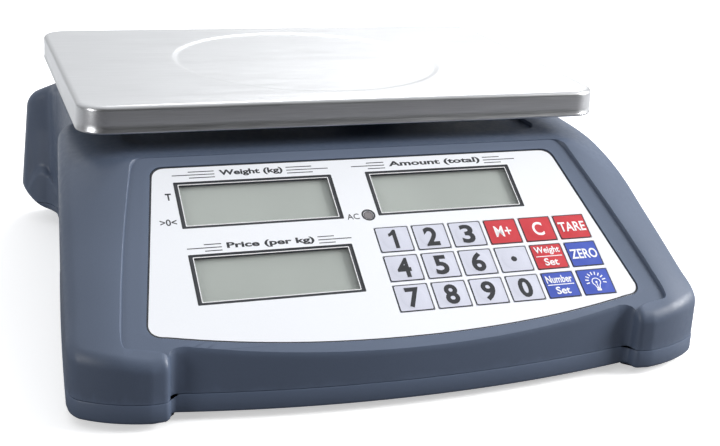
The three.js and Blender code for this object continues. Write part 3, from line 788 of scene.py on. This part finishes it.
SCREWS = [f"casing_screw_{number}" for number in (1, 2, 3, 4)]
FEET = [f"foot_{end}_{side}" for end in ("front", "rear") for side in ("left", "right")]
WINDOWS = ["window_mass", "window_total", "window_price"]
KEYS = [node for node in sorted(frame["nodes"]) if node.startswith("key_")]


def middle_of(node):
    low, high = node_box(node)
    return (low + high) / 2


def around(node, radius, low, high, count=32):
    middle = middle_of(node)
    return prism(disc(middle[0], middle[1], radius, count), low, high)


def top_hollow():
    """The space inside the top cover, with the screw pillars left standing."""
    def room(x, y, z):
        over_panel = (z - panel_height(y, PANEL_INNER)) * COS_SLOPE
        inner = np.maximum(casing_field(x, y, z) + WALL, over_panel)
        return np.maximum(inner, np.maximum(z - DECK_Z + 5, 12 - z))

    spacing = 4
    xs = np.arange(-190, 191, spacing)
    points, faces = net_of(room, xs, xs, np.arange(10, 112, spacing))
    hollow = mesh_object("hollow", points, faces)
    return cut(hollow, [around(screw, PILLAR, 0, 60) for screw in SCREWS])


def moved_in(outline, amount):
    """An anticlockwise outline with each point moved square to the line, inwards."""
    along = np.roll(outline, -1, 0) - np.roll(outline, 1, 0)
    along /= np.linalg.norm(along, axis=1)[:, None]
    inward = np.c_[-along[:, 1], along[:, 0]]
    return outline + inward * np.broadcast_to(amount, len(outline))[:, None]


def recess_cut():
    """Clears the surround of the panel, with a small rounded edge where the bands stand above it."""
    outline = whole_outline(recess_half()[:-1])[::-1]
    crest = SURROUND + BAND_RISE
    steps = [(-1.3, 60), (-1.3, crest + 0.4), (-0.6, crest - 0.25), (-0.15, crest - 0.9), (0, SURROUND)]
    rings = []
    for inset, lift in steps:
        loop = moved_in(outline, inset)
        rings.append(np.c_[loop, panel_height(loop[:, 1], lift)])
    return lofted("recess", rings, [CASING])


def top_cover():
    def closed_form(x, y, z):
        return np.maximum(casing_field(x, y, z), 11 - z)

    xs = graded([(-195, -130, 1.4), (-130, 130, 2.2), (130, 195, 1.4)])
    ys = graded([(-194, -50, 1.1), (-50, 150, 2.0), (150, 194, 1.4)])
    zs = graded([(8, 20, 3.0), (20, 118, 1.5)])
    points, faces = net_of(closed_form, xs, ys, zs)
    cover = mesh_object("top_cover_shell", points, faces, CASING)
    cover.modifiers.new("thin", "DECIMATE").ratio = 0.35
    apply_modifiers(cover)
    well_low, well_high = platter_low + [30, 18, 0], platter_high - [30, 18, 0]
    well = rounded_box(well_low[0], well_high[0], well_low[1], well_high[1], 15)
    cutters = [
        block((-250, -250, 0), (250, 250, PARTING_TOP)),
        top_hollow(),
        recess_cut(),
        prism(overlay_outline(GAP), -1.5, 30, PANEL_MATRIX),
        panel_cut("keypad_membrane", POCKET_LOW, ABOVE),
        *[panel_cut(window, BELOW, ABOVE) for window in WINDOWS],
        lamp_cut(BELOW, ABOVE),
        prism(well, DECK_Z - WELL_SINK, DECK_Z + 10),
        block((HUB_X[0], PLATTER_Y - HUB_HALF, 60), (HUB_X[1], PLATTER_Y + HUB_HALF, DECK_Z + 5)),
        around("bubble_level", 9.3, 90, DECK_Z + 5, 48),
        rear_cut("window_customer"),
        rear_cut("power_inlet"),
        rear_cut("switch_frame"),
        *[around(screw, SCREW_ROOM, 0, 33, 16) for screw in SCREWS],
    ]
    for cutter in cutters:
        cut(cover, [cutter])
    smooth(cover)
    return finished(cover, "base", "casing", "top_cover")


def ear_trim(side):
    """What is cleared from under one ear of the bottom cover."""
    def room(x, y, z):
        kept = casing_field(x, y, z) - 0.15
        beside = np.maximum(151.5 - side * x, side * x - 198)
        along = np.maximum(116 - y, y - 196)
        return np.maximum(np.maximum(-kept, beside), np.maximum(along, np.maximum(-z, z - 18)))

    xs = np.sort(np.arange(149, 202, 1.5) * side)
    return mesh_object("ear_trim", *net_of(room, xs, np.arange(113, 200, 1.5), np.arange(-2, 22, 1.2)))


def bottom_cover():
    outline = whole_outline(casing_half()[:-1])
    draft = wall_draft(outline[:, 0], outline[:, 1])
    high = PARTING_LOW
    ear = smooth_step(125, 150, outline[:, 1]) * smooth_step(150, 172, np.abs(outline[:, 0]))
    rounder = 1 + 1.6 * ear  # the lower edge is rounder on the ears
    steps = [(3.2, BASE_Z), (1.6, BASE_Z + 0.35), (0.5, BASE_Z + 1.4), (0, BASE_Z + 3.0)]
    rings = [at_height(moved_in(outline, 0.8 + draft * (high - BASE_Z)), high)]
    rings.append(at_height(moved_in(outline, 0.25 + draft * (high - BASE_Z)), high - 0.2))
    rings.append(at_height(moved_in(outline, draft * (high - 0.8 - BASE_Z)), high - 0.8))
    for inset, z in reversed(steps):
        loop = moved_in(outline, inset * rounder + draft * (z - BASE_Z))
        rings.append(np.c_[loop, BASE_Z + (z - BASE_Z) * rounder])
    cover = lofted("bottom_cover_shell", rings, [CASING])

    def room(x, y, z):
        floor = np.maximum(FLOOR_TOP, ear_under(x, y) + WALL)
        return np.maximum(plan_distance(x, y) + WALL, np.maximum(floor - z, z - 24))

    xs = np.arange(-192, 193, 3.0)
    hollow = mesh_object("hollow", *net_of(room, xs, xs, np.arange(6, 30, 1.0)))
    door_low, door_high = node_box("battery_door")
    rim_low = (door_low[0] - DOOR_RIM, door_low[1] - DOOR_RIM - 1, 0)
    rim_high = (door_high[0] + DOOR_RIM, door_high[1] - WALL + GAP, FLOOR_TOP + 3)
    cut(hollow, [block(rim_low, rim_high), *[around(foot, FOOT_ROOM + 2, 0, 13) for foot in FEET]])
    cut(hollow, [around(screw, PILLAR, 0, 60) for screw in SCREWS])
    cutters = [
        hollow,
        block((-POD_INNER, -250, 0), (POD_INNER, 250, UNDERSIDE)),
        block((door_low[0] - GAP, door_low[1] - GAP, 0), (door_high[0] + GAP, 250, door_high[2] + GAP)),
        block((door_low[0] + 5.7, door_low[1] + 5.7, 0), (door_high[0] - 5.7, door_high[1] - 19.7, 20)),
        *[around(foot, FOOT_ROOM, 0, 8.5) for foot in FEET],
        *[around(foot, 3.3, 0, 20) for foot in FEET],
        *[around(screw, 1.9, 0, 20, 16) for screw in SCREWS],
        *[around(screw, 3.6, 0, 7.4, 24) for screw in SCREWS],
    ]
    for cutter in [ear_trim(-1), ear_trim(1), *cutters]:
        cut(cover, [cutter])
    smooth(cover)
    return finished(cover, "base", "casing", "bottom_cover")


def panel_sheet():
    """The printed sheet, with openings for the windows, the lamp and the keys."""
    sheet = prism(overlay_outline(0), -1.2, 0, PANEL_MATRIX)
    sheet.name = "panel_sheet"
    holes = [panel_cut(window, -5, 5, 0.15) for window in WINDOWS]
    holes += [panel_cut(node, -5, 5, 0.2) for node in KEYS]
    cut(sheet, [*holes, lamp_cut(-5, 5, 0.1)])
    bevel = sheet.modifiers.new("edge", "BEVEL")
    bevel.width = 0.15 * MM
    bevel.segments = 1
    bevel.limit_method = "ANGLE"
    apply_modifiers(sheet)
    sheet.data.materials.clear()
    sheet.data.materials.append(OVERLAY)
    smooth(sheet)
    return finished(sheet, "base", "overlay", "panel_overlay")


def platter_pan():
    """A pressed pan: flat top with a sunk disc, rounded edge, straight skirt and a rolled lower lip."""
    width, depth = (platter_high - platter_low)[:2] + [4, 0]
    top, foot = platter_high[2], platter_low[2]
    sheet, corner, edge, sunk = 1.2, 18, 3.0, 0.8
    disc_out, disc_in = 94, 90

    def loop(inset):
        return pad_loop(width, depth, corner, inset, 12, 40)

    def skin(down):
        flat = loop(edge + down)
        rings = [at_height(round_loop(flat, r), top - sunk - down) for r in (30, 65, disc_in - 1.5)]
        slope = [(disc_in, 0.97), (disc_in + 1, 0.82), (disc_out - 1, 0.18), (disc_out, 0.03)]
        rings += [at_height(round_loop(flat, r), top - share * sunk - down) for r, share in slope]
        rings.append(at_height(round_loop(flat, disc_out + 1.5), top - down))
        rings += [at_height(loop(inset + down), top - down) for inset in (14, edge + 1.5)]
        for turn in np.radians(np.linspace(0, 90, 7)):
            inset = edge * (1 - math.sin(turn)) + 0.6 + down
            rings.append(at_height(loop(inset), top - edge * (1 - math.cos(turn)) - down * math.cos(turn)))
        rings.append(at_height(loop(0.5 + down), foot + 6))
        return rings

    lip = [(0.4, 2.0), (0.05, 1.5), (0, 0.9), (0.25, 0.3), (0.8, 0), (1.4, 0.2), (1.7, 0.8), (1.7, 2.4)]
    rings = skin(0) + [at_height(loop(inset), foot + rise) for inset, rise in lip] + skin(sheet)[::-1]
    pan = lofted("platter_pan", rings, [STEEL], Matrix.Translation((PLATTER_SHIFT * MM, PLATTER_Y * MM, 0)))
    smooth(pan, 40)
    return finished(pan, "platter", "brushed_steel", "platter")


# ---- Keys and their legends ----
KEY_CORNER = 1.6
KEY_LINE = 0.65
DOME = [(0, 0.4), (4, 0.39), (6.2, 0.36), (7.4, 0.27), (8.1, 0.19), (9, 0.18)]


def dome_height(radius):
    return np.interp(radius, *zip(*DOME))


def key_slot(node):
    return frame["nodes"][node].data.materials[0].name


def key_place(node):
    """Puts a shape made about the origin onto the middle of a key."""
    low, high = panel_box(node)
    middle = (low + high) / 2
    return PANEL_MATRIX @ Matrix.Translation((middle[0] * MM, middle[1] * MM, 0))


def key_pad(node):
    """A membrane key: a dark outline, a flat field and a low round dome in the middle."""
    low, high = panel_box(node)
    width, depth = (high - low)[:2]
    base, flat = low[2], dome_height(9)

    def loop(inset):
        return pad_loop(width, depth, KEY_CORNER, inset, 5, 5)

    rings = [at_height(round_loop(loop(1), r), dome_height(r)) for r in (2, 4, 6.2, 7, 7.4, 7.8, 8.1)]
    steps = [(KEY_LINE, flat), (0.25, flat), (0.06, flat - 0.08)]
    steps += [(0, flat - 0.25), (0, base + 0.1), (0.1, base)]
    rings += [at_height(loop(inset), height) for inset, height in steps]
    slot = key_slot(node)
    line_ring = 7
    line = (line_ring, line_ring + 3, 1)
    pad = lofted(f"{node}_pad", rings, [KEY_LOOKS[slot], DARK_INK_AND_GAP_SHADOW], key_place(node), [line])
    smooth(pad, 40)
    return finished(pad, node, slot, node)


class Print:
    """Gathers printed marks, each a thin closed solid, on the panel or on a key."""

    def __init__(self, low=0.0, high=0.05):
        self.low, self.high = low, high
        self.points, self.faces, self.count = [], [], 0

    def add(self, outline_points, faces, shares):
        """shares are 0 on the underside of the mark and 1 on its top."""
        u, v = outline_points.T
        height = self.low + shares * (self.high - self.low)
        self.points.append(np.c_[u, v, height])
        self.faces += [[i + self.count for i in face] for face in faces]
        self.count += len(u)

    def shape(self, outline):
        n = len(outline)
        faces = [list(range(n))[::-1], list(range(n, 2 * n))]
        faces += [[i, (i + 1) % n, n + (i + 1) % n, n + i] for i in range(n)]
        self.add(np.concatenate([outline, outline]), faces, np.repeat([0, 1], n))

    def bar(self, start, end, thick):
        start, end = np.array(start, float), np.array(end, float)
        along = (end - start) / np.linalg.norm(end - start)
        side = np.array([-along[1], along[0]]) * thick / 2
        self.shape(np.array([start - side, end - side, end + side, start + side]))

    def band(self, outer, inner):
        """A closed stripe between two loops of equal count."""
        n = len(outer)
        faces = []
        for i in range(n):
            j = (i + 1) % n
            faces.append([2 * n + i, 2 * n + j, 3 * n + j, 3 * n + i])
            faces.append([n + i, n + j, j, i])
            faces.append([i, j, 2 * n + j, 2 * n + i])
            faces.append([n + j, n + i, 3 * n + i, 3 * n + j])
        loops = np.concatenate([outer, inner, outer, inner])
        self.add(loops, faces, np.repeat([0, 0, 1, 1], n))

    def words(self, text, left, right, low, high, weight=0.0):
        """Lettering whose outline fills the given box."""
        curve = bpy.data.curves.new("words", "FONT")
        curve.body = text
        curve.resolution_u = 4
        curve.offset = weight
        curve.extrude = 0.01
        holder = bpy.data.objects.new("words", curve)
        bpy.context.scene.collection.objects.link(holder)
        bpy.context.view_layer.update()
        mesh = bpy.data.meshes.new_from_object(holder.evaluated_get(bpy.context.evaluated_depsgraph_get()))
        bm = bmesh.new()
        bm.from_mesh(mesh)
        bmesh.ops.remove_doubles(bm, verts=bm.verts, dist=1e-5)
        points = np.array([v.co for v in bm.verts])
        faces = [[v.index for v in face.verts] for face in bm.faces]
        bm.free()
        bpy.data.objects.remove(holder)
        span = points[:, :2].max(0) - points[:, :2].min(0)
        spots = (points[:, :2] - points[:, :2].min(0)) / span * [right - left, high - low] + [left, low]
        self.add(spots, faces, (points[:, 2] > 0) * 1.0)

    def made(self, name, material, body, slot, matrix=PANEL_MATRIX):
        obj = mesh_object(name, np.concatenate(self.points), self.faces, material, matrix)
        return finished(obj, body, slot)


DIGITS = {f"key_{n}": str(n) for n in range(10)}
WORDS = {
    "key_memory": [("M+", 11.0, 8.3, 0.0)],
    "key_clear": [("C", 7.2, 10.4, 0.0)],
    "key_tare": [("TARE", 18.0, 7.3, 0.0)],
    "key_zero": [("ZERO", 18.0, 7.3, 0.0)],
    "key_weight_set": [("Weight", 16.8, 6.2, 4.2), ("Set", 9.2, 5.4, -4.2)],
    "key_count_set": [("Number", 17.2, 5.4, 4.0), ("Set", 9.2, 5.4, -4.2)],
}


def bulb_sign(sign):
    """A lamp bulb with rays round its upper half."""
    head = arc(0, -0.4, 3.0, -52, 232, 22)
    neck = np.array([[-1.2, -5.2], [1.2, -5.2]])
    outer = np.concatenate([head, neck])
    inner = np.concatenate([arc(0, -0.4, 2.4, -48, 228, 22), [[-0.6, -4.6], [0.6, -4.6]]])
    sign.band(outer, inner)
    sign.shape(rounded_box(-1.5, 1.5, -6.9, -5.3, 0.5, 4))
    sign.bar((0, -4.6), (0, -1.2), 0.5)
    sign.shape(disc(0, -0.6, 0.7, 12))
    for angle in np.radians(np.linspace(-12, 192, 10)):
        ray = np.array([math.cos(angle), math.sin(angle)])
        sign.bar(ray * 4.6 + [0, 0.2], ray * 6.9 + [0, 0.2], 0.75)


def figure_one():
    """A bold figure one with a slanting flag, as an anticlockwise outline."""
    return np.array([(1.3, 6.9), (-0.2, 6.9), (-2.4, 4.6), (-3.7, 4.0), (-3.7, 1.7), (-1.2, 3.0),
                     (-1.2, -6.9), (1.3, -6.9)]) + [0.6, 0]


def key_legend(node):
    sign = Print(dome_height(9) - 0.05, dome_height(0) + 0.04)
    if node == "key_1":
        sign.shape(figure_one())
    elif node in DIGITS:
        sign.words(DIGITS[node], -4.3, 4.3, -6.9, 6.9, 0.032)
    elif node == "key_point":
        sign.shape(disc(0, 0, 1.9, 24))
    elif node == "key_light":
        bulb_sign(sign)
    else:
        for text, width, height, centre in WORDS[node]:
            weight = 0.012 if "+" in text else 0.02
            half, rise = width / 2, height / 2
            sign.words(text, -half, half, centre - rise, centre + rise, weight)
        if len(WORDS[node]) > 1:
            sign.bar((-8.7, 0), (8.7, 0), 0.6)
    slot = key_slot(node)
    ink = DARK_INK_AND_GAP_SHADOW if slot == "key_pale" else WHITE_INK_AND_BEVEL_HIGHLIGHT
    return sign.made(f"{node}_legend", ink, node, slot, key_place(node))


# ---- Print on the panel, and a painted shadow along the sheet's edge ----
def heading(sheet, text, left, right, middle, long_ends, short_ends):
    """A display's heading between two sets of three lines, the middle line of each the longest."""
    sheet.words(text, left, right, middle - 2.4, middle + 2.9, 0.032)
    thick, spacing = 0.6, 2.3
    for end, short, start in zip(long_ends, short_ends, (left - 3, right + 2.4)):
        for far, offset in ((end, 0), (short, -spacing), (short, spacing)):
            height = middle + offset
            sheet.bar((min(far, start), height), (max(far, start), height), thick)


HEADINGS = [
    ("window_mass", "Weight (kg)", (28.5, 67.5), 5.4, (0, -0.5), (9.9, -10.6)),
    ("window_price", "Price (per kg)", (23, 75), 4.5, (0, 1), (10, -9.3)),
    ("window_total", "Amount (total)", (17, 79), 4.9, (-7.8, 6.6), (2.6, -3.6)),
]


def panel_print():
    """Headings, marks and borders, and a thin dark band just inside the sheet's edge that is painted shadow
    of the gap round the sheet. Offsets run from a window's left and right edges.
    """
    sheet = Print()
    for node, text, (start, end), rise, long_ends, short_ends in HEADINGS:
        low, high = panel_box(node)
        left, right = low[0], high[0]
        longs = (left + long_ends[0], right + long_ends[1])
        shorts = (left + short_ends[0], right + short_ends[1])
        heading(sheet, text, left + start, left + end, high[1] + rise, longs, shorts)
    mass_left = panel_box("window_mass")[0][0]
    sheet.words("T", mass_left - 6.3, mass_left - 2.8, -12.8, -7.6, 0.03)
    sheet.words(">0<", mass_left - 12.3, mass_left - 2.6, -31.3, -26.6, 0.012)
    lamp_low, lamp_high = panel_box("power_indicator")
    lamp_u, lamp_v = (lamp_low[:2] + lamp_high[:2]) / 2
    sheet.words("AC", lamp_u - 13.6, lamp_u - 6.0, lamp_v - 2.6, lamp_v + 1.6, 0.004)
    sheet.band(disc(lamp_u, lamp_v, 4.3, 36), disc(lamp_u, lamp_v, 3.25, 36))
    for node in WINDOWS:
        low, high = panel_box(node)
        outer = rounded_box(low[0] - 0.2, high[0] + 0.2, low[1] - 0.2, high[1] + 0.2, 0.5, 3)
        inner = rounded_box(low[0] + 0.5, high[0] - 0.5, low[1] + 0.5, high[1] - 0.5, 0.4, 3)
        sheet.band(outer, inner)
    # Painted shadow: a dark band just inside the sheet's edge stands in for the shade in the gap between
    # the sheet and the casing round it.
    edge_in, edge_out = overlay_outline(-0.75), overlay_outline(-0.05)
    sheet.band(edge_out[::-1], edge_in[::-1])
    return sheet.made("panel_print", DARK_INK_AND_GAP_SHADOW, "base", "overlay")


def window_border(node):
    """The dark border printed on a display window, with a thin pale line inside it that is a painted
    highlight, standing in for light caught on the window's inner bevel.
    """
    low, high = panel_box(node)
    border, line = Print(), Print()

    def loop(side, end):
        return rounded_box(low[0] + side, high[0] - side, low[1] + end, high[1] - end, 0.4, 3)

    down = Matrix.Translation((0, 0, high[2] * MM))
    border.band(loop(0.1, 0.1), loop(2.2, 1.5))
    # Painted highlight: the thin pale line stands in for light caught on the window's inner bevel.
    line.band(loop(2.2, 1.5), loop(2.7, 2.0))
    name = node.replace("window", "border")
    border.made(name, RING, "base", "window", PANEL_MATRIX @ down)
    line.made(f"{name}_line", WHITE_INK_AND_BEVEL_HIGHLIGHT, "base", "window", PANEL_MATRIX @ down)


# ---- Making everything ----
top_cover()
bottom_cover()
panel_sheet()
platter_pan()
for key_node in KEYS:
    key_pad(key_node)
    key_legend(key_node)
panel_print()
for window_node in WINDOWS:
    window_border(window_node)

level_look = spirit_level("spirit_level", tuple(middle_of("bubble_level") * MM))
for node_name, node_object in frame["nodes"].items():
    slot_name = node_object.data.materials[0].name
    if node_object.hide_render:
        continue
    look = level_look if node_name == "bubble_level" else SLOT_LOOKS[slot_name]
    node_object.data.materials[0] = look


# ---- Stage, light and camera ----
def pale_floor():
    look = Look("floor", 0.6)
    seen = look.nodes.new("ShaderNodeLightPath").outputs["Is Camera Ray"]
    pale = look.ramp(look.noise(400, detail=1), (0.93, 0.93, 0.94), (0.96, 0.96, 0.96))
    # Unseen by the camera, the floor is dark in front and pale behind: painted shade and light standing in
    # for a studio that is dark on the camera's side and bright behind, for the metal to reflect.
    north = look.node("ShaderNodeSeparateXYZ", {"Vector": look.place}, 1)
    behind = look.node("ShaderNodeMapRange", {"Value": north, "From Min": -0.2, "From Max": 0.6})
    unseen = look.blend(behind, (0.15, 0.15, 0.16), (0.85, 0.86, 0.87))
    look.put(look.blend(seen, unseen, pale), "Base Color")
    look.put(look.blend(seen, (0, 0, 0), (0.5, 0.5, 0.5)), "Emission Color")
    look.shader.inputs["Emission Strength"].default_value = 1.0
    size = 3000
    floor = mesh_object("floor", [(-size, -size, 0), (size, -size, 0), (size, size, 0), (-size, size, 0)],
                        [[0, 1, 2, 3]], look.material)


def soft_light(name, place, aim, size, power):
    light = bpy.data.lights.new(name, "AREA")
    light.shape = "DISK"
    light.size = size
    light.energy = power
    obj = bpy.data.objects.new(name, light)
    bpy.context.scene.collection.objects.link(obj)
    obj.location = place
    obj.rotation_mode = "QUATERNION"
    obj.rotation_quaternion = (Vector(aim) - Vector(place)).to_track_quat("-Z", "Y")


def studio_world():
    """White to the camera; for light, bright overhead and dimmer towards the floor."""
    world = bpy.data.worlds.new("studio")
    bpy.context.scene.world = world
    world.use_nodes = True
    nodes, links = world.node_tree.nodes, world.node_tree.links
    background = nodes["Background"]
    place = nodes.new("ShaderNodeTexCoord")
    lean = nodes.new("ShaderNodeVectorMath")
    lean.operation = "DOT_PRODUCT"
    lean.inputs[1].default_value = (0.1, 0.55, 0.83)
    ramp = nodes.new("ShaderNodeMapRange")
    for socket, value in {"From Min": -0.1, "From Max": 1.0, "To Min": 0.03, "To Max": 1.0}.items():
        ramp.inputs[socket].default_value = value
    path = nodes.new("ShaderNodeLightPath")
    mix = nodes.new("ShaderNodeMix")
    links.new(place.outputs["Generated"], lean.inputs[0])
    links.new(lean.outputs["Value"], ramp.inputs["Value"])
    links.new(path.outputs["Is Camera Ray"], mix.inputs[0])
    links.new(ramp.outputs[0], mix.inputs[2])
    mix.inputs[3].default_value = 1.0
    links.new(mix.outputs[0], background.inputs["Strength"])
    background.inputs["Color"].default_value = (0.97, 0.985, 1.0, 1)


def place_camera():
    """Stands ahead and to the left, looking a little down, with a slight tilt."""
    yaw, pitch, roll = (math.radians(a) for a in (19.836, 19.683, 3.122))
    forward = Vector((math.sin(yaw) * math.cos(pitch), math.cos(yaw) * math.cos(pitch), -math.sin(pitch)))
    level = Vector((math.cos(yaw), -math.sin(yaw), 0))
    upright = level.cross(forward)
    side = level * math.cos(roll) + upright * math.sin(roll)
    top = upright * math.cos(roll) - level * math.sin(roll)
    data = bpy.data.cameras.new("camera")
    data.sensor_width = 36
    data.lens = 61.55
    camera = bpy.data.objects.new("camera", data)
    bpy.context.scene.collection.objects.link(camera)
    turn = Matrix((side, top, -forward)).transposed().to_4x4()
    camera.matrix_world = Matrix.Translation((-0.2476, -0.7601, 0.3288)) @ turn
    bpy.context.scene.camera = camera


pale_floor()
studio_world()
soft_light("key", (1.7, -0.5, 0.9), (0, 0, 0.05), 1.0, 43)
soft_light("top", (0.7, 1.3, 1.5), (0, 0, 0.05), 1.0, 14)
soft_light("side", (-1.6, -0.8, 0.5), (0, 0, 0.08), 0.6, 7)
place_camera()
bpy.context.scene.view_settings.view_transform = "Standard"
